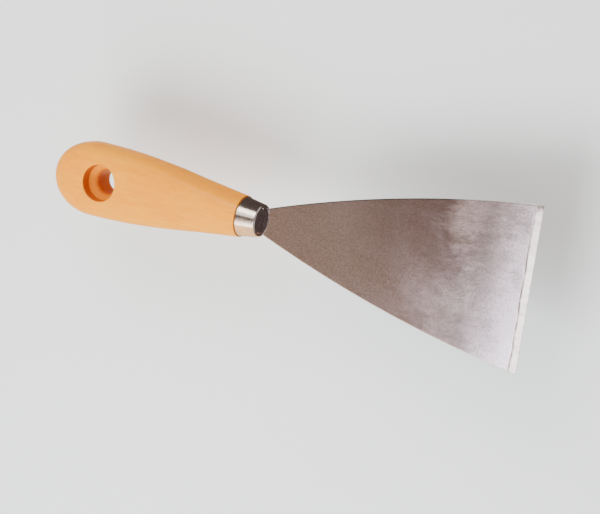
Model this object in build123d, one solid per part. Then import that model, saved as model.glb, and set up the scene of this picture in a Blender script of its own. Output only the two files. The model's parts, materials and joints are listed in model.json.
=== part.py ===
from build123d import *
import os
from math import cos, pi, sin

# Flexible putty knife with a lacquered beech handle, a nickel-plated ferrule cap and a spring-steel
# blade.  Millimetres.  The origin is on the axis of the hang hole, halfway through the blade's
# thickness: +X runs towards the working edge, +Y across the blade, +Z up out of the face that has
# the counterbore.

# ---- blade ---------------------------------------------------------------------------------------
EDGE_WIDTH = 75.0            # a standard 3 inch knife
BLADE_LENGTH = 133.5         # from the front of the ferrule to the working edge
ROOT_WIDTH = 11.1            # width inside the ferrule and where the blade leaves it
SIDE_SAGITTA = 3.94          # how far each convex side bows out from a straight taper
ROOT_THICKNESS = 1.05        # the faces are taper-ground from here ...
EDGE_THICKNESS = 0.6         # ... to here, so that the blade flexes along its whole length
BEVEL_LENGTH = 3.3           # narrow bevel ground on both faces at the edge
TIP_THICKNESS = 0.3          # land left at the very edge

# The tang is the narrow rear end of the same sheet, hidden in the handle.
NECK_LENGTH = 4.3            # back from the front of the ferrule to the shoulders
TANG_LENGTH = 46.0           # from the shoulders to the rounded tip
TANG_WIDTH = 9.0             # at the shoulders
TANG_TIP_WIDTH = 5.0

# The sheet's elastic bend is carried by three flex lines across the blade.
FLEX_LINES = (16.0, 55.0, 97.0)   # distances from the front of the ferrule
FLEX_GAP = 0.2                    # slit at each line, wide enough for the corners to turn

# ---- ferrule -------------------------------------------------------------------------------------
FERRULE_LENGTH = 9.3         # from the rim to the flat, closed front
FERRULE_REAR_RADIUS = 9.05
FERRULE_FRONT_RADIUS = 7.5   # where the tapered side meets the front
FERRULE_WALL = 0.6
SHOULDER_RADIUS = 0.9        # rounding between side and front
SLOT_CLEARANCE = 0.1         # around the blade where it passes through the front

# ---- handle --------------------------------------------------------------------------------------
HANDLE_LENGTH = 100.4        # visible wood, from the ferrule's rim to the rear end
HOLE_TO_REAR = 27.4          # hang hole's axis to the rear end
REAR_ROUND = 20.8            # the rear end is a half ellipse in plan, this long
# Half width, half thickness and squareness of the section at equal steps from the ferrule to the
# start of the rear rounding.  Squareness 2 is an ellipse, larger is flatter with rounded sides.
HANDLE_SECTIONS = (
    (9.5, 9.5, 2.0),
    (11.9, 9.9, 2.5),
    (14.6, 9.7, 2.9),
    (16.5, 9.5, 3.0),
    (17.1, 9.4, 3.0),
)
SECTION_POINTS = 32
HANDLE_FRONT_ROUND = 0.5     # the wood stands a little proud of the ferrule and is rounded there

# Hang hole: counterbore, 45 degree cone, then a plain hole out through the far face.
HANG_RADIUS = 5.4
RECESS_RADIUS = 8.5
RECESS_FLOOR = 3.9           # height of the counterbore's floor above the blade's mid-plane
RECESS_TOP = 9.0             # the sharp rims are broken by 45 degree chamfers from here up ...
HANG_BOTTOM = -9.1           # ... and from here down

# ---- places along X ------------------------------------------------------------------------------
HANDLE_REAR = -HOLE_TO_REAR
HANDLE_FRONT = HANDLE_REAR + HANDLE_LENGTH
FERRULE_FRONT = HANDLE_FRONT + FERRULE_LENGTH
EDGE = FERRULE_FRONT + BLADE_LENGTH
NECK_REAR = FERRULE_FRONT - NECK_LENGTH
TANG_TIP = NECK_REAR - TANG_LENGTH
BIG = 100.0


def slab_between(x_low, x_high):
    """Everything between two planes across the knife, as a cutting block."""
    block = Box(x_high - x_low, 2 * BIG, 2 * BIG)
    return Pos((x_low + x_high) / 2, 0, 0) * block


# ---- handle --------------------------------------------------------------------------------------
def handle_section(x, half_width, half_thickness, squareness):
    """Closed superelliptic section of the handle at x."""
    points = []
    for i in range(SECTION_POINTS):
        angle = 2 * pi * i / SECTION_POINTS
        c, s = cos(angle), sin(angle)
        reach = (abs(c) ** squareness + abs(s) ** squareness) ** (-1 / squareness)
        points.append((x, half_width * reach * c, half_thickness * reach * s))
    return make_face(Spline(*points, periodic=True))


def handle_body():
    """The outside of the wood, from the ferrule's rim to the rounded rear end."""
    widest = HANDLE_REAR + REAR_ROUND
    step = (HANDLE_FRONT - widest) / (len(HANDLE_SECTIONS) - 1)
    sections = []
    for i, (half_width, half_thickness, squareness) in enumerate(HANDLE_SECTIONS):
        sections.append(handle_section(HANDLE_FRONT - i * step, half_width, half_thickness, squareness))
    grip = loft(sections)
    # The widest section turned about an upright axis and stretched along X makes the rear end.
    half_section = handle_section(0, *HANDLE_SECTIONS[-1]) & Pos(0, BIG / 2, 0) * Box(1, BIG, BIG)
    rear_end = scale(revolve(half_section, Axis.Z), by=(REAR_ROUND / half_width, 1, 1))
    return grip + (Pos(widest, 0, 0) * rear_end & slab_between(HANDLE_REAR - 1, widest))


def flare(radius, z, rise):
    """45 degree cone that starts with the given radius at z and widens upwards or downwards."""
    cone = Cone(radius, radius + abs(rise), abs(rise), align=(Align.CENTER, Align.CENTER, Align.MIN))
    if rise < 0:
        cone = cone.rotate(Axis.X, 180)
    return Pos(0, 0, z) * cone


def hang_hole():
    """Cutter for the counterbored hang hole."""
    cone_depth = RECESS_RADIUS - HANG_RADIUS
    recess = Cylinder(RECESS_RADIUS, BIG, align=(Align.CENTER, Align.CENTER, Align.MIN))
    cutter = Cylinder(HANG_RADIUS, 2 * BIG) + Pos(0, 0, RECESS_FLOOR) * recess
    cutter += flare(HANG_RADIUS, RECESS_FLOOR - cone_depth, cone_depth)
    cutter += flare(RECESS_RADIUS, RECESS_TOP, 1)
    return cutter + flare(HANG_RADIUS, HANG_BOTTOM, -1)


def make_handle():
    body = handle_body()
    front_rim = body.edges().group_by(Axis.X)[-1]
    body = fillet(front_rim, HANDLE_FRONT_ROUND)
    body = body - hang_hole()
    body = body + ferrule_inside()
    return body - tang_plan(ROOT_THICKNESS)


# ---- ferrule -------------------------------------------------------------------------------------
def ferrule_form(inset):
    """Solid of revolution inside the ferrule's outer skin by inset."""
    slope = (FERRULE_REAR_RADIUS - FERRULE_FRONT_RADIUS) / FERRULE_LENGTH
    front = FERRULE_FRONT - inset
    corner = (front, FERRULE_FRONT_RADIUS + (slope - 1) * inset)
    rear = (HANDLE_FRONT, FERRULE_REAR_RADIUS - inset)
    half_section = make_face(Polyline((front, 0), (HANDLE_FRONT, 0), rear, corner, close=True))
    shoulder = half_section.vertices().sort_by_distance(corner)[0]
    return revolve(fillet(shoulder, SHOULDER_RADIUS - inset), Axis.X)


def ferrule_inside():
    """The handle's spigot: it fills the cap up to the blade's shoulders."""
    return ferrule_form(FERRULE_WALL) & slab_between(HANDLE_FRONT - 5, NECK_REAR)


def make_ferrule():
    slot = Box(BIG, ROOT_WIDTH + 2 * SLOT_CLEARANCE, ROOT_THICKNESS + 2 * SLOT_CLEARANCE)
    return ferrule_form(0) - ferrule_form(FERRULE_WALL) - Pos(NECK_REAR + BIG / 2, 0, 0) * slot


# ---- blade ---------------------------------------------------------------------------------------
def tang_plan(thickness):
    """Shoulders to tip of the tang as a flat plate, also the cutter for its slot in the handle."""
    half, tip = TANG_WIDTH / 2, TANG_TIP_WIDTH / 2
    outline = Polyline(
        (TANG_TIP + tip, tip), (NECK_REAR, half), (NECK_REAR, -half), (TANG_TIP + tip, -tip)
    )
    outline += ThreePointArc((TANG_TIP + tip, -tip), (TANG_TIP, 0), (TANG_TIP + tip, tip))
    return extrude(make_face(outline), thickness / 2, both=True)


def blade_plan():
    """The whole sheet in plan: tang, neck, convex sides and straight working edge."""
    root, edge = ROOT_WIDTH / 2, EDGE_WIDTH / 2
    outline = Polyline(
        (FERRULE_FRONT, root), (NECK_REAR, root), (NECK_REAR, -root), (FERRULE_FRONT, -root)
    )
    outline += SagittaArc((FERRULE_FRONT, -root), (EDGE, -edge), -SIDE_SAGITTA)
    outline += Line((EDGE, -edge), (EDGE, edge))
    outline += SagittaArc((EDGE, edge), (FERRULE_FRONT, root), -SIDE_SAGITTA)
    return extrude(make_face(outline), BIG, both=True)


def blade_profile():
    """Side view of the sheet: parallel at the tang, taper-ground faces, bevelled edge."""
    upper = [
        (TANG_TIP, ROOT_THICKNESS / 2),
        (FERRULE_FRONT, ROOT_THICKNESS / 2),
        (EDGE - BEVEL_LENGTH, EDGE_THICKNESS / 2),
        (EDGE, TIP_THICKNESS / 2),
    ]
    lower = [(x, -z) for x, z in reversed(upper)]
    side = Plane.XZ * make_face(Polyline(*upper, *lower, close=True))
    return extrude(side, BIG, both=True)


def make_blade_parts():
    """The sheet, parted at its flex lines."""
    sheet = (blade_plan() & blade_profile()) + tang_plan(ROOT_THICKNESS)
    lines = [FERRULE_FRONT + distance for distance in FLEX_LINES]
    starts = [TANG_TIP - 1] + [x + FLEX_GAP / 2 for x in lines]
    ends = [x - FLEX_GAP / 2 for x in lines] + [EDGE + 1]
    names = ("blade_root", "blade_inner", "blade_middle", "blade_outer")
    return {
        name: sheet & slab_between(start, end) for name, start, end in zip(names, starts, ends)
    }


def main():
    parts = {"handle": make_handle(), "ferrule": make_ferrule()}
    parts.update(make_blade_parts())
    os.makedirs("parts", exist_ok=True)
    for name, part in parts.items():
        export_step(part, f"parts/{name}.step")


main()
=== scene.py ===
import json
import math

import bpy
import numpy as np
from mathutils import Matrix, Vector


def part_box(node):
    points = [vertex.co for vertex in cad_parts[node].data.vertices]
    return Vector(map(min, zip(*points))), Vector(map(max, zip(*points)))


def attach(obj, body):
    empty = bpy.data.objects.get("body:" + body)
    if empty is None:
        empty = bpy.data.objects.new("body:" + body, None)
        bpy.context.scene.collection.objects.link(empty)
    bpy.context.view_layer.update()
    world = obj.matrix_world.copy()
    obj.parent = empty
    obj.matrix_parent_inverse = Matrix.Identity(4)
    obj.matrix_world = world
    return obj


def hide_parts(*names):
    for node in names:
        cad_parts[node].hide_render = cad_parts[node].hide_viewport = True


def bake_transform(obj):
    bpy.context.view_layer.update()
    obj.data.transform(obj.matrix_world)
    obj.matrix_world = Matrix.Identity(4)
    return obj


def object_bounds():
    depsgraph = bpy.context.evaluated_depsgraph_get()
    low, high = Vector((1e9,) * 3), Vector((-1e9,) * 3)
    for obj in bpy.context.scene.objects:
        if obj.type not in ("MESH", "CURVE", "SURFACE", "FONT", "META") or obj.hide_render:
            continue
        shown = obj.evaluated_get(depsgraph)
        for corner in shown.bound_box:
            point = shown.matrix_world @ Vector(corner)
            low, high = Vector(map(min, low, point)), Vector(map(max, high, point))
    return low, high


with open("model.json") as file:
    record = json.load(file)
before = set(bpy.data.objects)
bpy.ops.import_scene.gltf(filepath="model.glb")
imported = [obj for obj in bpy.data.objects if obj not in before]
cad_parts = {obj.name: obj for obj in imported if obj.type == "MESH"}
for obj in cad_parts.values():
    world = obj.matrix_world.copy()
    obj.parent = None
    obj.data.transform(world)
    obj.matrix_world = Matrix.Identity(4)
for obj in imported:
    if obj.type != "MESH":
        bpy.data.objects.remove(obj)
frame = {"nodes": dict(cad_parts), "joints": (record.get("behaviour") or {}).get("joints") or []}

# Flexible putty knife.  Metres, in the CAD frame: origin on the hang hole's axis at mid-thickness of
# the blade, +X towards the working edge, +Y across the blade, +Z out of the counterbored face.
MM = 0.001
CAD_LOW, CAD_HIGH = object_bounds()

# ---- places and sizes from the frame -------------------------------------------------------------
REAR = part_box("handle")[0].x
WOOD_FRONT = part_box("ferrule")[0].x
FERRULE_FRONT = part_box("ferrule")[1].x
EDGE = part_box("blade_outer")[1].x
EDGE_HALF_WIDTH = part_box("blade_outer")[1].y
FLEX_X = [joint["pos_m"][0] for joint in frame["joints"]]

# ---- handle shape --------------------------------------------------------------------------------
REAR_ROUND = 20.8 * MM                 # the rear end is a half ellipse in plan, this long
WIDEST = REAR + REAR_ROUND
HALF_WIDTHS = (9.5, 11.9, 14.6, 16.5, 17.1)      # mm, equal steps from the ferrule to WIDEST
HALF_THICKNESSES = (9.5, 9.9, 9.7, 9.5, 9.4)
SQUARENESS = (2.0, 2.5, 2.9, 3.0, 3.0)           # 2 is an ellipse, larger is flatter
FRONT_ROUND = 0.5 * MM                 # the wood's rim at the ferrule
SPIGOT_RADII = (8.4 * MM, 7.5 * MM)    # wood inside the ferrule, at its rim and near its front
SPIGOT_LENGTH = 5.0 * MM
AROUND = 128                           # points round each section
GRIP_STATIONS = 82                     # sections from the ferrule to WIDEST
REAR_STATIONS = 25                     # and from there to the rear end, which is a point

# Hang hole, from the top: rounded rim, recess, 45 degree cone, bore, rounded rim.  Heights are
# measured from the blade's mid-plane.
HANG_RADIUS = 5.4 * MM
RECESS_RADIUS = 8.5 * MM
RECESS_FLOOR = 3.9 * MM                # where the cone starts
CONE_BOTTOM = RECESS_FLOOR - (RECESS_RADIUS - HANG_RADIUS)
RIM_ROUND = 0.45 * MM
RECESS_WALL_TOP = 8.2 * MM             # plain wall below the upper rim
BORE_WALL = (-1.5 * MM, -8.2 * MM)     # plain wall above the lower rim
CONE_TOP_ROUND = 0.5 * MM              # rounding between the recess's wall and the cone ...
CONE_TOP_DIP = 0.15 * MM               # ... which ends this much lower than a true arc
CONE_FOOT_ABOVE = 0.48 * MM            # the cone turns into the bore from this height above its foot
CONE_FOOT_BELOW = 0.68 * MM            # to this depth below it
MOUTH_BLOCK = 12.0 * MM                # half side of the block of faces remade round each mouth
MOUTH_RINGS = 7                        # from the block's border to the rim

# ---- blade shape ---------------------------------------------------------------------------------
ROOT_HALF_WIDTH = 5.55 * MM            # where the blade leaves the ferrule
SIDE_SAGITTA = 3.94 * MM
ROOT_THICKNESS = 1.05 * MM
EDGE_THICKNESS = 0.6 * MM
TIP_THICKNESS = 0.3 * MM
BEVEL_LENGTH = 3.3 * MM
NECK_LENGTH = 4.3 * MM
TANG_HALF_WIDTHS = (4.5 * MM, 2.5 * MM)
TANG_LENGTH = 46.0 * MM
ACROSS = 25                            # points across each flat face
SPAN_STEP = 1.5 * MM                   # between stations along the sheet
SIDE_LAND = 0.45 * MM                  # the sides' corners are dressed off this wide ...
SIDE_DROP = 0.16 * MM                  # ... and this deep
SHARP_ANGLE = math.radians(9)          # edges that turn by more stay sharp in the light

# Wiped smears on the outer part of the faces, and one painted dark patch of shade: middle, half
# extents (mm), strength and colour.
SMEARS_AND_SHADE = (
    ((182, 24), (8, 14), 0.85, (0.84, 0.77, 0.82)),
    # Painted shade: a dark gap in the blade's reflection, drawn like a smear.
    ((193, 6), (5, 20), 0.50, (0.42, 0.37, 0.40)),
    ((175, -20), (13, 16), 0.22, (0.80, 0.73, 0.77)),
)
SMEAR_FADE = (1.6, 0.3)                # where they end and where they are full, in half extents
SMEAR_RAGGEDNESS = 3.0                 # how far the noise pushes their outlines in and out

# Edge, as distances in from it: the freshly ground strip fades in, with a burr line inside it.
GROUND_FADE = (4.1 * MM, 3.7 * MM)
BURR_LINE = 3.45 * MM
BURR_FADE = (0.60 * MM, 0.25 * MM)     # half widths, where the line ends and where it is full
BURR_WANDER = 0.5 * MM

# ---- camera --------------------------------------------------------------------------------------
VIEW_YAW, VIEW_PITCH, VIEW_ROLL = (math.radians(a) for a in (27.02, 11.68, 8.84))
VIEW_DISTANCE = 1.3487
VIEW_OFFSET = (-0.01684, 0.01613)      # ferrule's front from the view's centre, right and up
VIEW_LENS = 180.0
SENSOR_WIDTH = 36.0

# The floor lies this far below the knife, clear of the blade's edge when it bends down.
FLOOR_DROP = 35 * MM
FLOOR_HALF = 10.0                      # half the length of its sides

# ---- light panel over the blade's outer end ------------------------------------------------------
PANEL_CORNER = (0.080, -0.014, 0.40)
PANEL_SIZE = (0.085, 0.40)
PANEL_TURN = -20.0                     # degrees about Z
PANEL_POWER = 0.60
PANEL_COLOUR = (0.91, 0.91, 1)


# ==== mesh helpers ================================================================================
def new_object(name, verts, faces):
    """Smooth-shaded object in the scene."""
    mesh = bpy.data.meshes.new(name)
    mesh.from_pydata([tuple(v) for v in verts], [], faces)
    mesh.validate()
    mesh.update()
    mesh.shade_smooth()
    obj = bpy.data.objects.new(name, mesh)
    bpy.context.scene.collection.objects.link(obj)
    return obj


class MeshBuilder:
    """Collects vertices and faces."""

    def __init__(self):
        self.verts = []
        self.faces = []

    def add(self, points):
        """Numbers of the new vertices at the points."""
        start = len(self.verts)
        self.verts.extend(tuple(p) for p in points)
        return list(range(start, len(self.verts)))

    def bridge(self, loop_a, loop_b):
        """Band of faces between two closed loops."""
        count = len(loop_a)
        for k in range(count):
            n = (k + 1) % count
            self.faces.append((loop_a[k], loop_a[n], loop_b[n], loop_b[k]))

    def fan(self, loop, point):
        """Cap of triangles from a closed loop to a point."""
        tip = self.add([point])[0]
        count = len(loop)
        for k in range(count):
            self.faces.append((loop[k], loop[(k + 1) % count], tip))


# ==== handle ======================================================================================
def through(values, u):
    """Smooth curve through equally spaced values, flat at its last one; u runs from 0 to 1."""
    values = np.asarray(values, float)
    slopes = np.gradient(values)
    slopes[-1] = 0.0
    position = np.clip(u, 0, 1) * (len(values) - 1)
    i = np.minimum(position.astype(int), len(values) - 2)
    t = position - i
    a, b, da, db = values[i], values[i + 1], slopes[i], slopes[i + 1]
    return (
        a * (1 + 2 * t) * (1 - t) ** 2 + b * t**2 * (3 - 2 * t)
        + da * t * (1 - t) ** 2 - db * t**2 * (1 - t)
    )


def grip_form(x):
    """Half width, half thickness and squareness of the handle at x."""
    u = (WOOD_FRONT - np.asarray(x, float)) / (WOOD_FRONT - WIDEST)
    return through(HALF_WIDTHS, u) * MM, through(HALF_THICKNESSES, u) * MM, through(SQUARENESS, u)


def handle_ring(x, angles):
    """Points of the handle's section at x, one for each angle."""
    half_width, half_thickness, square = grip_form(max(x, WIDEST))
    back = max(0.0, (WIDEST - x) / REAR_ROUND)
    c, s = np.cos(angles), np.sin(angles)
    # Halve the interval round the surface in each direction; 1.2 is beyond any corner.
    low, high = np.zeros_like(angles), np.full_like(angles, 1.2)
    for _ in range(40):
        reach = (low + high) / 2
        across = (reach * np.abs(c)) ** 2 + back**2
        outside = across ** (square / 2) + (reach * np.abs(s)) ** square > 1
        high = np.where(outside, reach, high)
        low = np.where(outside, low, reach)
    y, z = half_width * reach * c, half_thickness * reach * s
    return np.stack([np.full_like(angles, x), y, z], 1)


def handle_height(x, y):
    """Height of the handle's upper face above the blade's mid-plane."""
    half_width, half_thickness, square = grip_form(np.maximum(x, WIDEST))
    back = np.maximum(0.0, (WIDEST - x) / REAR_ROUND)
    across = np.sqrt((y / half_width) ** 2 + back**2)
    return half_thickness * np.maximum(0.0, 1 - across**square) ** (1 / square)


def arc(start, end, steps):
    """Angles in radians, from a start to an end in degrees, without the first one."""
    return [math.radians(start + (end - start) * (i + 1) / steps) for i in range(steps)]


def rim_profile(radius, start, end, sign, datum):
    """Quarter round between a face of the handle and the wall of the hole below or above it."""
    stops = []
    for a in arc(start, end, 5):
        out, down = RIM_ROUND * (1 - math.sin(a)), RIM_ROUND * (1 - math.cos(a))
        stops.append((radius + out, sign * down, datum))
    return stops


def hole_profile():
    """Stops down the hang hole, as (radius, height, datum that the height is measured from).

    Datum "top" and "bottom" are the handle's faces, None is the blade's mid-plane.
    """
    stops = rim_profile(RECESS_RADIUS, 0, 90, -1, "top")
    cone_top_start = RECESS_FLOOR + CONE_TOP_ROUND
    for z in np.linspace(RECESS_WALL_TOP, cone_top_start, 5):
        stops.append((RECESS_RADIUS, z, None))
    turn = arc(0, 45, 3)
    for a in turn:
        radius = RECESS_RADIUS - CONE_TOP_ROUND * (1 - math.cos(a))
        height = cone_top_start - CONE_TOP_ROUND * math.sin(a) - CONE_TOP_DIP * a / turn[-1]
        stops.append((radius, height, None))
    # The cone, then a curve round its foot into the bore.
    top = Vector(stops[-1][:2])
    corner = Vector((HANG_RADIUS, CONE_BOTTOM))
    foot = corner + Vector((CONE_FOOT_ABOVE, CONE_FOOT_ABOVE))
    end = corner - Vector((0, CONE_FOOT_BELOW))
    for t in np.linspace(0.2, 1, 5):
        stops.append((*top.lerp(foot, t), None))
    for t in np.linspace(0.25, 1, 4):
        stops.append((*foot.lerp(corner, t).lerp(corner.lerp(end, t), t), None))
    for z in np.linspace(*BORE_WALL, 7):
        stops.append((HANG_RADIUS, z, None))
    return stops + rim_profile(HANG_RADIUS, 90, 0, 1, "bottom")


def handle_stations():
    """Places of the handle's sections along X, in equal turns round the curve of the rear end."""
    turn = np.linspace(0, math.pi / 2, REAR_STATIONS + 2)[1:-1]
    square = SQUARENESS[-1]
    reach = (np.cos(turn) ** square + np.sin(turn) ** square) ** (-1 / square)
    grip = np.linspace(WOOD_FRONT - FRONT_ROUND, WIDEST, GRIP_STATIONS)
    return list(grip) + list(WIDEST - REAR_ROUND * reach * np.sin(turn))


def mouth_block(stations, angles):
    """First and last section and first and last point of the upper block round the hang hole."""
    first = min(range(len(stations)), key=lambda i: abs(stations[i] - MOUTH_BLOCK))
    last = min(range(len(stations)), key=lambda i: abs(stations[i] + MOUTH_BLOCK))
    y_top = handle_ring(0.0, angles)[: AROUND // 2, 1]
    side = min(range(AROUND // 4), key=lambda j: abs(y_top[j] - MOUTH_BLOCK))
    return first, last, side, AROUND // 2 - side


def add_outside(builder, rings, block):
    """Faces between the sections, without the blocks round the mouths, and the rear end."""
    first, last, left, right = block
    for i in range(len(rings) - 1):
        for j in range(AROUND):
            n = (j + 1) % AROUND
            upper = left <= j < right
            lower = AROUND - right <= j < AROUND - left
            if first <= i < last and (upper or lower):
                continue
            builder.faces.append((rings[i][j], rings[i][n], rings[i + 1][n], rings[i + 1][j]))
    builder.fan(rings[-1], (REAR, 0, 0))


def add_hang_hole(builder, rings, block):
    """Rings from the upper block's border into the hole, down it and out to the lower border."""
    first, last, left, right = block

    def border(point_of):
        loop = [rings[first][point_of(j)] for j in range(left, right)]
        loop += [rings[i][point_of(right)] for i in range(first, last)]
        loop += [rings[last][point_of(j)] for j in range(right, left, -1)]
        loop += [rings[i][point_of(left)] for i in range(last, first, -1)]
        return loop

    top = border(lambda j: j)
    bottom = border(lambda j: (AROUND - j) % AROUND)
    heading = np.array([math.atan2(builder.verts[v][1], builder.verts[v][0]) for v in top])
    unit = np.stack([np.cos(heading), np.sin(heading)], 1)

    def approach(loop, radius, sign):
        """Rings from the block's border to the circle where the rim starts to turn over."""
        outline = np.array([builder.verts[v][:2] for v in loop])
        made = [loop]
        for t in np.linspace(0, 1, MOUTH_RINGS + 1)[1:]:
            xy = outline * (1 - t) + unit * radius * t
            z = sign * handle_height(xy[:, 0], xy[:, 1])
            made.append(builder.add(np.column_stack([xy, z])))
        return made

    column = approach(top, RECESS_RADIUS + RIM_ROUND, 1)
    bottom_rings = approach(bottom, HANG_RADIUS + RIM_ROUND, -1)
    sign_of = {"top": 1, "bottom": -1, None: 0}
    # The last stop is the ring that the approach from below already ends in.
    for radius, height, datum in hole_profile()[:-1]:
        xy = unit * radius
        z = height + sign_of[datum] * handle_height(xy[:, 0], xy[:, 1])
        column.append(builder.add(np.column_stack([xy, z])))
    column += reversed(bottom_rings)
    for a, b in zip(column, column[1:]):
        builder.bridge(a, b)


def add_spigot(builder, loop, angles):
    """Rounded front rim, then the spigot that the ferrule hides."""
    circle = np.stack([np.cos(angles), np.sin(angles)], 1)
    rim = HALF_WIDTHS[0] * MM
    stops = []
    for a in arc(0, 90, 6):
        back, inward = FRONT_ROUND * (1 - math.sin(a)), FRONT_ROUND * (1 - math.cos(a))
        stops.append((WOOD_FRONT - back, rim - inward))
    stops += [(WOOD_FRONT, SPIGOT_RADII[0]), (WOOD_FRONT + SPIGOT_LENGTH, SPIGOT_RADII[1])]
    for x, radius in stops:
        ring = builder.add(np.column_stack([np.full(AROUND, x), circle * radius]))
        builder.bridge(ring, loop)
        loop = ring
    builder.fan(loop[::-1], (WOOD_FRONT + SPIGOT_LENGTH, 0, 0))


def build_handle():
    """The handle as one mesh, with the hang hole and the spigot."""
    builder = MeshBuilder()
    angles = np.arange(AROUND) * 2 * math.pi / AROUND
    stations = handle_stations()
    rings = [builder.add(handle_ring(x, angles)) for x in stations]
    block = mouth_block(stations, angles)
    add_outside(builder, rings, block)
    add_hang_hole(builder, rings, block)
    add_spigot(builder, rings[0], angles)
    return new_object("wood_handle", builder.verts, builder.faces)


# ==== blade =======================================================================================
def blade_half_width(x):
    """Half width of the sheet in plan, tang included."""
    shoulder = FERRULE_FRONT - NECK_LENGTH
    if x >= FERRULE_FRONT:
        # The side is an arc that bows out from its chord by the sagitta.
        chord_x, chord_y = EDGE - FERRULE_FRONT, EDGE_HALF_WIDTH - ROOT_HALF_WIDTH
        chord = math.hypot(chord_x, chord_y)
        radius = chord**2 / (8 * SIDE_SAGITTA) + SIDE_SAGITTA / 2
        middle = Vector((FERRULE_FRONT + chord_x / 2, ROOT_HALF_WIDTH + chord_y / 2))
        normal = Vector((chord_y, -chord_x)) / chord
        centre = middle + normal * (radius - SIDE_SAGITTA)
        return centre.y + math.sqrt(radius**2 - (x - centre.x) ** 2)
    if x >= shoulder:
        return ROOT_HALF_WIDTH
    back = (shoulder - x) / TANG_LENGTH
    half = TANG_HALF_WIDTHS[0] + (TANG_HALF_WIDTHS[1] - TANG_HALF_WIDTHS[0]) * back
    to_tip = (x - (shoulder - TANG_LENGTH)) / TANG_HALF_WIDTHS[1]
    if to_tip < 1:
        half = half * math.sqrt(max(0.0, 1 - (1 - to_tip) ** 2))
    return half


def blade_half_thickness(x):
    """Half thickness of the sheet: even at the tang, then tapered, then bevelled."""
    bevel = EDGE - BEVEL_LENGTH
    stations = (FERRULE_FRONT, bevel, EDGE)
    return np.interp(x, stations, (ROOT_THICKNESS, EDGE_THICKNESS, TIP_THICKNESS)) / 2


def build_span(name, start, end, close_start, close_end, extra=()):
    """One stretch of the sheet: flat faces, with the sides' sharp corners dressed off."""
    count = max(2, round((end - start) / SPAN_STEP))
    stations = sorted(set(list(np.linspace(start, end, count + 1)) + list(extra)))
    builder = MeshBuilder()
    loops = []
    for x in stations:
        half, thick = blade_half_width(x), blade_half_thickness(x)
        # The dressing shrinks with the sheet at the tang's tip and where the edge is thin.
        land = min(SIDE_LAND, half * 0.3)
        drop = min(SIDE_DROP, thick * 0.4)
        ys = list(np.linspace(-(half - land), half - land, ACROSS))
        corner = [(half - land * 0.35, thick - drop * 0.4), (half, thick - drop)]
        ring = [(x, y, thick) for y in ys]
        ring += [(x, y, z) for y, z in corner]
        ring += [(x, y, -z) for y, z in reversed(corner)]
        ring += [(x, y, -thick) for y in reversed(ys)]
        ring += [(x, -y, -z) for y, z in corner]
        ring += [(x, -y, z) for y, z in reversed(corner)]
        loops.append(builder.add(ring))
    for a, b in zip(loops, loops[1:]):
        builder.bridge(b, a)
    if close_start:
        builder.faces.append(tuple(loops[0]))
    if close_end:
        builder.faces.append(tuple(reversed(loops[-1])))
    obj = new_object(name, builder.verts, builder.faces)
    mark_sharp(obj)
    return obj


def mark_sharp(obj):
    """Keep the edges between flats sharp, so that the flats stay flat in the light."""
    mesh = obj.data
    normals = {}
    for face in mesh.polygons:
        for key in face.edge_keys:
            normals.setdefault(key, []).append(face.normal.copy())
    sharp = mesh.attributes.get("sharp_edge") or mesh.attributes.new("sharp_edge", "BOOLEAN", "EDGE")
    for edge in mesh.edges:
        pair = normals.get(tuple(sorted(edge.vertices)), [])
        sharp.data[edge.index].value = len(pair) == 2 and pair[0].angle(pair[1], 0.0) > SHARP_ANGLE


def build_blade():
    """The sheet as three spans that meet midway between flex lines."""
    seams = [(FLEX_X[0] + FLEX_X[1]) / 2, (FLEX_X[1] + FLEX_X[2]) / 2]
    shoulder = FERRULE_FRONT - NECK_LENGTH
    tang_tip = shoulder - TANG_LENGTH
    bevel = EDGE - BEVEL_LENGTH
    # Extra stations go round the tang's tip, at its shoulders, at the ferrule and at the bevel.
    # The tip is cut 0.03 mm short, so that it has a face and not a point.
    tip_stations = [tang_tip + TANG_HALF_WIDTHS[1] * (1 - math.cos(a)) for a in arc(8, 90, 6)]
    root_stations = tip_stations + [shoulder - 0.01 * MM, shoulder, FERRULE_FRONT]
    root_start = tang_tip + 0.03 * MM
    root = build_span("blade_steel_root", root_start, seams[0], True, False, root_stations)
    middle = build_span("blade_steel_middle", seams[0], seams[1], False, False)
    outer_stations = [bevel, bevel + 0.3 * MM]
    outer = build_span("blade_steel_outer", seams[1], EDGE, False, True, outer_stations)
    return [root, middle, outer], seams


# ==== materials ===================================================================================
def mix_colours(tree, factor, a, b):
    """Mix node's result, for a factor socket and two colours or sockets."""
    node = tree.nodes.new("ShaderNodeMix")
    node.data_type = "RGBA"
    sockets = [socket for socket in node.inputs if socket.enabled]
    tree.links.new(factor, sockets[0])
    for socket, value in zip(sockets[1:], (a, b)):
        if isinstance(value, tuple):
            socket.default_value = (*value, 1)
        else:
            tree.links.new(value, socket)
    return [socket for socket in node.outputs if socket.enabled][0]


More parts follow.
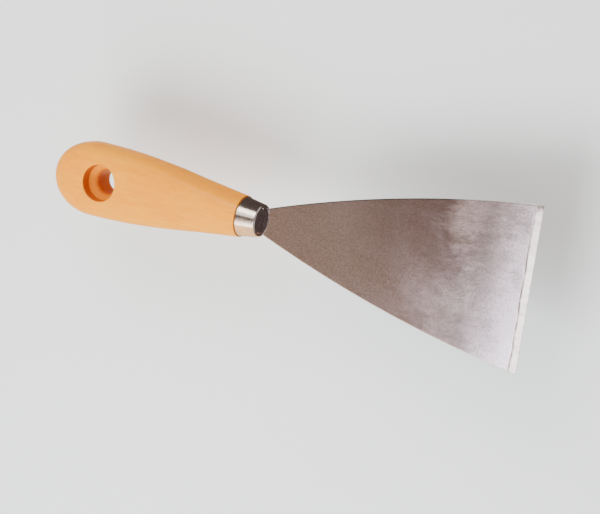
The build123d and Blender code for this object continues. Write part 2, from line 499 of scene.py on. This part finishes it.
class Nodes:
    """Small helper for building a material's node tree."""

    def __init__(self, material):
        material.use_nodes = True
        self.tree = material.node_tree
        self.shader = self.tree.nodes["Principled BSDF"]
        self.coords = self.tree.nodes.new("ShaderNodeTexCoord").outputs["Object"]

    def link(self, source, target):
        self.tree.links.new(source, target)

    def scaled(self, scale, offset=(0, 0, 0)):
        """Object coordinates, stretched where the scale is below 1, and shifted."""
        node = self.tree.nodes.new("ShaderNodeMapping")
        node.inputs["Scale"].default_value = scale
        node.inputs["Location"].default_value = offset
        self.link(self.coords, node.inputs["Vector"])
        return node.outputs["Vector"]

    def noise(self, vector, scale, detail=4.0, roughness=0.5, distortion=0.0):
        node = self.tree.nodes.new("ShaderNodeTexNoise")
        node.inputs["Scale"].default_value = scale
        node.inputs["Detail"].default_value = detail
        node.inputs["Roughness"].default_value = roughness
        node.inputs["Distortion"].default_value = distortion
        self.link(vector, node.inputs["Vector"])
        return node.outputs["Fac"]

    def ramp(self, value, *stops):
        """Colour ramp through (position, colour) stops."""
        node = self.tree.nodes.new("ShaderNodeValToRGB")
        elements = node.color_ramp.elements
        while len(elements) < len(stops):
            elements.new(0.5)
        for element, (position, colour) in zip(elements, stops):
            element.position = position
            element.color = (*colour, 1)
        self.link(value, node.inputs["Fac"])
        return node.outputs["Color"]

    def grey(self, value, low, high, a=0.0, b=1.0):
        """Value mapped from low..high to a..b and held there."""
        node = self.tree.nodes.new("ShaderNodeMapRange")
        node.inputs["From Min"].default_value = low
        node.inputs["From Max"].default_value = high
        node.inputs["To Min"].default_value = a
        node.inputs["To Max"].default_value = b
        self.link(value, node.inputs["Value"])
        return node.outputs["Result"]

    def math(self, operation, a, b=None):
        node = self.tree.nodes.new("ShaderNodeMath")
        node.operation = operation
        for socket, value in zip(node.inputs, (a, b)):
            if value is None:
                continue
            if isinstance(value, (int, float)):
                socket.default_value = value
            else:
                self.link(value, socket)
        return node.outputs[0]

    def length(self, a, b):
        """Square root of the sum of two squares."""
        squares = [self.math("MULTIPLY", value, value) for value in (a, b)]
        return self.math("SQRT", self.math("ADD", *squares))

    def mix(self, factor, a, b):
        """Colour from a to b; each is a colour or a socket."""
        return mix_colours(self.tree, factor, a, b)

    def split(self, vector):
        node = self.tree.nodes.new("ShaderNodeSeparateXYZ")
        self.link(vector, node.inputs[0])
        return node.outputs

    def bump(self, height, strength, distance):
        node = self.tree.nodes.new("ShaderNodeBump")
        node.inputs["Strength"].default_value = strength
        node.inputs["Distance"].default_value = distance
        self.link(height, node.inputs["Height"])
        self.link(node.outputs["Normal"], self.shader.inputs["Normal"])

    def set(self, **values):
        """Set or link the shader's inputs, named with _ for each space."""
        for name, value in values.items():
            socket = self.shader.inputs[name.replace("_", " ")]
            if hasattr(value, "is_linked"):
                self.link(value, socket)
            else:
                socket.default_value = value


def srgb(r, g, b):
    """Linear colour of an 8-bit screen colour."""
    def one(v):
        v = v / 255
        return v / 12.92 if v <= 0.04045 else ((v + 0.055) / 1.055) ** 2.4
    return one(r), one(g), one(b)


def beech_material():
    material = bpy.data.materials.new("lacquered_beech")
    n = Nodes(material)
    cloud = n.noise(n.scaled((0.45, 1, 1)), 85, 3, 0.5)
    grain = n.noise(n.scaled((0.12, 1, 1)), 900, 5, 0.62, 0.4)
    mottle = n.noise(n.scaled((0.6, 1, 1), (0.2, 0.5, 0.1)), 700, 3, 0.6)
    flecks = n.noise(n.scaled((0.22, 1, 1), (0.3, 0.1, 0.2)), 2400, 2, 0.5)
    colour = n.ramp(
        cloud, (0.30, (0.92, 0.300, 0.001)), (0.50, (0.95, 0.330, 0.002)), (0.72, (0.97, 0.370, 0.006))
    )
    colour = n.mix(n.grey(mottle, 0.42, 0.68, 0.0, 0.28), colour, (0.97, 0.42, 0.03))
    figure = n.noise(n.scaled((0.16, 1, 1), (0.4, 0.3, 0.2)), 260, 4, 0.6, 0.6)
    colour = n.mix(n.grey(figure, 0.52, 0.68, 0.0, 0.45), colour, (0.85, 0.245, 0.001))
    colour = n.mix(n.grey(grain, 0.38, 0.74, 0.0, 0.50), colour, (0.78, 0.225, 0.002))
    colour = n.mix(n.grey(flecks, 0.60, 0.72, 0.0, 0.35), colour, (0.66, 0.17, 0.004))
    # The hang hole's walls are redder and darker, its cone only a little: end grain that drinks more
    # lacquer, and painted shade in the recess.
    x, y, z = n.split(n.coords)
    inside = n.grey(n.length(x, y), RECESS_RADIUS + 0.25 * MM, RECESS_RADIUS)
    above_cone = n.grey(z, RECESS_FLOOR + 0.1 * MM, RECESS_FLOOR + 0.6 * MM)
    below_cone = n.grey(z, CONE_BOTTOM + 1.4 * MM, CONE_BOTTOM + 0.1 * MM)
    walls = n.math("MAXIMUM", above_cone, below_cone)
    reddened = n.math("MULTIPLY", inside, n.math("MULTIPLY", walls, 0.85))
    colour = n.mix(reddened, colour, (0.42, 0.058, 0.010))
    # The whole hole a little darker and redder: painted shade in the recess.
    colour = n.mix(n.math("MULTIPLY", inside, 0.25), colour, (0.60, 0.16, 0.01))
    # A dark line where the wood meets the ferrule: painted shade in the gap between the parts, over
    # darker end grain.
    front = n.grey(x, WOOD_FRONT - 0.75 * MM, WOOD_FRONT - 0.35 * MM)
    colour = n.mix(n.math("MULTIPLY", front, 0.9), colour, (0.17, 0.04, 0.008))
    n.set(Base_Color=colour, Specular_IOR_Level=0.05, Coat_Weight=0.30, Coat_Roughness=0.16)
    n.set(Roughness=n.grey(grain, 0.3, 0.7, 0.34, 0.48))
    wave = n.noise(n.scaled((0.5, 1, 1), (0.7, 0, 0)), 60, 2, 0.4)
    height = n.math("ADD", wave, n.math("MULTIPLY", grain, 0.05))
    n.bump(height, 0.35, 0.6 * MM)
    return material


def nickel_material():
    material = bpy.data.materials.new("nickel_plate")
    n = Nodes(material)
    # Polishing lines run round the cap, so they are fine along X and long round it.
    lines = n.noise(n.scaled((1, 0.04, 0.04)), 5200, 3, 0.6)
    smears = n.noise(n.coords, 420, 4, 0.55)
    colour = n.mix(n.grey(smears, 0.35, 0.7), srgb(226, 219, 211), srgb(206, 196, 186))
    n.set(Base_Color=colour, Metallic=1.0)
    smeared = n.grey(smears, 0.3, 0.75, 0.13, 0.21)
    n.set(Roughness=n.math("ADD", smeared, n.grey(lines, 0.4, 0.7, 0, 0.05)))
    n.bump(n.math("ADD", lines, n.math("MULTIPLY", smears, 0.6)), 0.08, 0.1 * MM)
    return material


def add_smears_and_shade(n, colour, x, y, broken):
    """Wiped patches and a painted dark patch of shade, with ragged outlines drawn by the broken-up
    noise.
    """
    for place, size, strength, tone in SMEARS_AND_SHADE:
        off_x = n.math("DIVIDE", n.math("SUBTRACT", x, place[0] * MM), size[0] * MM)
        off_y = n.math("DIVIDE", n.math("SUBTRACT", y, place[1] * MM), size[1] * MM)
        push = n.math("MULTIPLY", n.math("SUBTRACT", broken, 0.5), SMEAR_RAGGEDNESS)
        ragged = n.math("SUBTRACT", n.length(off_x, off_y), push)
        colour = n.mix(n.grey(ragged, *SMEAR_FADE, 0.0, strength), colour, tone)
    return colour


def add_ground_edge(n, colour, x, y, streaks):
    """Freshly ground edge, with the grinder's wavy burr line just inside it."""
    wander = n.noise(n.scaled((0.02, 1, 1), (0.6, 0.2, 0)), 60, 3, 0.55)
    wander = n.grey(wander, 0.25, 0.75, -BURR_WANDER, BURR_WANDER)
    inward = n.math("ADD", n.math("SUBTRACT", EDGE, x), wander)
    fresh = n.mix(n.grey(streaks, 0.35, 0.65), (0.76, 0.70, 0.64), (0.50, 0.45, 0.41))
    colour = n.mix(n.math("MULTIPLY", n.grey(inward, *GROUND_FADE), 0.85), colour, fresh)
    # The line is broken, and fainter towards the +Y corner.
    off_line = n.math("ABSOLUTE", n.math("SUBTRACT", inward, BURR_LINE))
    broken_line = n.grey(n.noise(n.scaled((0.02, 1, 1)), 300, 2, 0.5), 0.35, 0.60, 0.45, 0.95)
    strength = n.math("MULTIPLY", broken_line, n.grey(y, 32 * MM, 12 * MM, 0.4, 1.0))
    line = n.math("MULTIPLY", n.grey(off_line, *BURR_FADE), strength)
    return n.mix(line, colour, (0.12, 0.10, 0.085))


def steel_material():
    material = bpy.data.materials.new("spring_steel")
    n = Nodes(material)
    x, y, _ = n.split(n.coords)
    run = n.grey(x, FERRULE_FRONT, EDGE)
    scratches = n.noise(n.scaled((0.035, 1, 1)), 3800, 4, 0.65)
    speckle = n.noise(n.coords, 1500, 2, 0.7)
    # Pale near the ferrule, darker and browner beyond the middle, bright towards the edge: painted
    # reflection, the light's fall along the blade put into the base colour.
    colour = n.ramp(
        run, (0.0, (0.68, 0.63, 0.69)), (0.30, (0.59, 0.56, 0.65)), (0.47, (0.40, 0.355, 0.41)),
        (0.56, (0.35, 0.295, 0.33)), (0.74, (0.35, 0.30, 0.34)), (0.93, (0.95, 0.89, 1.0)),
    )
    # Paler towards the -Y side, most in the middle of the blade: painted reflection of the lighter
    # side of the room.
    side_sheen = n.math("MULTIPLY", n.grey(y, 18 * MM, -16 * MM), n.grey(run, 0.15, 0.55))
    side_sheen = n.math("MULTIPLY", side_sheen, n.grey(run, 0.82, 0.66, 0.2, 0.70))
    colour = n.mix(side_sheen, colour, (0.64, 0.59, 0.68))
    # Wiped patches and one painted dark patch of shade, broken up by short streaks along the blade, in
    # the outer part.
    cloud = n.noise(n.scaled((1, 1.1, 1), (0.31, 0.22, 0)), 55, 4, 0.6, 0.4)
    streaks = n.noise(n.scaled((0.25, 1, 1), (0.1, 0.4, 0)), 420, 4, 0.65)
    broken = n.math("ADD", cloud, n.math("MULTIPLY", n.math("SUBTRACT", streaks, 0.5), 0.5))
    colour = add_smears_and_shade(n, colour, x, y, broken)
    bright = n.math("MULTIPLY", n.grey(broken, 0.52, 0.68, 0.0, 0.35), n.grey(run, 0.55, 0.78))
    colour = n.mix(bright, colour, (0.80, 0.76, 0.80))
    dull = n.math("MULTIPLY", n.grey(broken, 0.50, 0.34, 0.0, 0.30), n.grey(run, 0.45, 0.70))
    colour = n.mix(dull, colour, (0.26, 0.22, 0.21))
    colour = n.mix(n.grey(speckle, 0.38, 0.66, 0, 0.42), colour, (0.20, 0.175, 0.165))
    colour = n.mix(n.grey(scratches, 0.45, 0.75, 0, 0.35), colour, (0.30, 0.27, 0.26))
    colour = add_ground_edge(n, colour, x, y, streaks)
    n.set(Base_Color=colour, Metallic=1.0)
    rough = n.math("ADD", n.grey(run, 0.0, 0.6, 0.09, 0.16), n.grey(scratches, 0.3, 0.7, 0.0, 0.04))
    n.set(Roughness=n.math("ADD", rough, n.grey(broken, 0.35, 0.65, 0.0, 0.04)))
    n.bump(scratches, 0.05, 0.05 * MM)
    return material


def floor_material():
    material = bpy.data.materials.new("floor")
    n = Nodes(material)
    soft = n.noise(n.coords, 3.0, 2, 0.5)
    n.set(Base_Color=n.mix(soft, srgb(236, 238, 240), srgb(242, 243, 244)), Roughness=0.85)
    return material


# ==== stage =======================================================================================
def view_rotation():
    """Rotation from the knife's frame to the camera's: x right, y up, z towards the camera."""
    roll = Matrix.Rotation(-VIEW_ROLL, 3, "Z")
    pitch = Matrix.Rotation(VIEW_PITCH, 3, "X")
    yaw = Matrix.Rotation(-VIEW_YAW, 3, "Y")
    return roll @ pitch @ yaw


def add_camera():
    rotation = view_rotation()
    back = rotation.transposed()
    offset = Vector((VIEW_OFFSET[0], VIEW_OFFSET[1], -VIEW_DISTANCE))
    place = Vector((FERRULE_FRONT, 0, 0)) - back @ offset
    data = bpy.data.cameras.new("camera")
    data.lens = VIEW_LENS
    data.sensor_width = SENSOR_WIDTH
    data.clip_end = 20.0
    camera = bpy.data.objects.new("camera", data)
    camera.matrix_world = Matrix.Translation(place) @ back.to_4x4()
    bpy.context.scene.collection.objects.link(camera)
    bpy.context.scene.camera = camera


def add_floor():
    """Plain pale floor, which the bright metal doesn't mirror."""
    half, z = FLOOR_HALF, CAD_LOW.z - FLOOR_DROP
    corners = [(-half, -half, z), (half, -half, z), (half, half, z), (-half, half, z)]
    floor = new_object("floor", corners, [(0, 1, 2, 3)])
    floor.data.materials.append(floor_material())
    floor.visible_glossy = False


def add_area_light(name, size, power, colour, placement):
    """Rectangular light that the camera doesn't see; it shines along its own -Z."""
    data = bpy.data.lights.new(name, "AREA")
    data.shape = "RECTANGLE"
    data.size, data.size_y = size
    data.energy = power
    data.color = colour
    light = bpy.data.objects.new(name, data)
    light.matrix_world = placement
    light.visible_camera = False
    bpy.context.scene.collection.objects.link(light)
    return light


def add_softbox(name, direction, distance, size, power, colour=(1, 1, 1)):
    """Area light out along a direction from the ferrule's front, facing it."""
    away = Vector(direction).normalized()
    place = Vector((FERRULE_FRONT, 0, 0)) + away * distance
    turn = away.to_track_quat("Z", "Y").to_matrix().to_4x4()
    return add_area_light(name, size, power, colour, Matrix.Translation(place) @ turn)


def add_blade_panel():
    """Low soft panel over the outer end of the blade; its slanting edge fades across the steel."""
    turn = Matrix.Rotation(math.radians(PANEL_TURN), 4, "Z")
    centre = turn @ Vector((PANEL_SIZE[0] / 2, -PANEL_SIZE[1] / 2, 0))
    placement = Matrix.Translation(Vector(PANEL_CORNER) + centre) @ turn
    add_area_light("blade_panel", PANEL_SIZE, PANEL_POWER, PANEL_COLOUR, placement)


def add_room():
    """World: what the bright metal mirrors, an even pale light for other rays and a pale backdrop."""
    world = bpy.data.worlds.new("studio")
    bpy.context.scene.world = world
    world.use_nodes = True
    tree = world.node_tree
    direction = tree.nodes.new("ShaderNodeTexCoord").outputs["Generated"]

    def towards(vector, low, high):
        """From 0 to 1 as a ray's direction along the vector goes from low to high."""
        dot = tree.nodes.new("ShaderNodeVectorMath")
        dot.operation = "DOT_PRODUCT"
        dot.inputs[1].default_value = vector
        tree.links.new(direction, dot.inputs[0])
        ease = tree.nodes.new("ShaderNodeMapRange")
        ease.interpolation_type = "SMOOTHSTEP"
        ease.inputs["From Min"].default_value = low
        ease.inputs["From Max"].default_value = high
        tree.links.new(dot.outputs["Value"], ease.inputs["Value"])
        return ease.outputs["Result"]

    def both(a, b):
        node = tree.nodes.new("ShaderNodeMath")
        node.operation = "MULTIPLY"
        tree.links.new(a, node.inputs[0])
        tree.links.new(b, node.inputs[1])
        return node.outputs[0]

    def blend(factor, a, b):
        return mix_colours(tree, factor, a, b)

    def background(colour):
        node = tree.nodes.new("ShaderNodeBackground")
        if isinstance(colour, tuple):
            node.inputs["Color"].default_value = (*colour, 1)
        else:
            tree.links.new(colour, node.inputs["Color"])
        return node.outputs[0]

    # A dark room, with a broad warm wall on the -Y side that is less warm high up and fades out
    # overhead and towards both ends of the knife.
    fade_to_edge = towards((-1, 0, 0), -0.45, -0.05)
    fade_to_rear = towards((1, 0, 0), -1.0, -0.10)
    side_wall = both(towards((0, -1, 0.05), 0.0, 0.64), both(fade_to_edge, fade_to_rear))
    wall_colour = blend(towards((0, 0, 1), 0.70, 0.95), (2.6, 1.60, 0.84), (2.0, 1.40, 0.93))
    mirrored = blend(side_wall, (0.10, 0.072, 0.066), wall_colour)
    # Two soft bright patches past the working edge, one to each side, for the views from behind.
    mirrored = blend(towards((0.62, 0.77, -0.15), 0.88, 0.97), mirrored, (1.0, 0.90, 0.84))
    mirrored = blend(towards((0.75, -0.65, 0.12), 0.75, 0.95), mirrored, (0.60, 0.55, 0.53))
    # A plain wall low down beyond each end.
    low = towards((0, 0, -1), -0.55, -0.25)
    end_wall = both(towards((1, 0, 0), 0.70, 0.90), low)
    rear_wall = both(towards((-1, 0, 0), 0.35, 0.65), low)
    mirrored = blend(end_wall, mirrored, (0.80, 0.77, 0.77))
    mirrored = blend(rear_wall, mirrored, (1.25, 1.2, 1.2))

    rays = tree.nodes.new("ShaderNodeLightPath").outputs
    shader = background((0.8, 0.8, 0.8))
    for ray, colour in (("Is Glossy Ray", mirrored), ("Is Camera Ray", (1.4, 1.4, 1.42))):
        choose = tree.nodes.new("ShaderNodeMixShader")
        tree.links.new(rays[ray], choose.inputs[0])
        tree.links.new(shader, choose.inputs[1])
        tree.links.new(background(colour), choose.inputs[2])
        shader = choose.outputs[0]
    tree.links.new(shader, tree.nodes["World Output"].inputs["Surface"])


def add_lights():
    """Warm key from the +Y side, a fill from the -Y side that metal doesn't mirror, and the room."""
    add_softbox("key", (-0.10, 0.70, 0.70), 1.1, (0.70, 0.50), 3.6, (1, 0.95, 0.88))
    add_softbox("key_spread", (-0.10, 0.56, 0.82), 1.3, (0.80, 0.95), 5.0, (1, 0.92, 0.84))
    fill = add_softbox("fill", (-0.10, -0.58, 0.81), 1.2, (0.8, 0.8), 23.5, (0.94, 1, 0.95))
    fill.visible_glossy = False
    add_softbox("zenith", (0.21, 0, 1), 0.5, (0.15, 0.15), 0.055)
    add_blade_panel()
    add_room()


# ==== the knife ===================================================================================
def dress_knife():
    """The handle and the blade as new pieces, and a new material on the CAD ferrule."""
    wood, nickel, steel = beech_material(), nickel_material(), steel_material()
    handle = build_handle()
    handle.data.materials.append(wood)
    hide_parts("handle")
    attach(handle, "grip")

    ferrule = frame["nodes"]["ferrule"]
    for slot in ferrule.material_slots:
        slot.material = nickel

    spans, seams = build_blade()
    nodes = [("blade_root",), ("blade_inner",), ("blade_middle", "blade_outer")]
    for i, span in enumerate(spans):
        span.data.materials.append(steel)
        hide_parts(*nodes[i])
        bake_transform(span)


dress_knife()
add_camera()
add_floor()
add_lights()
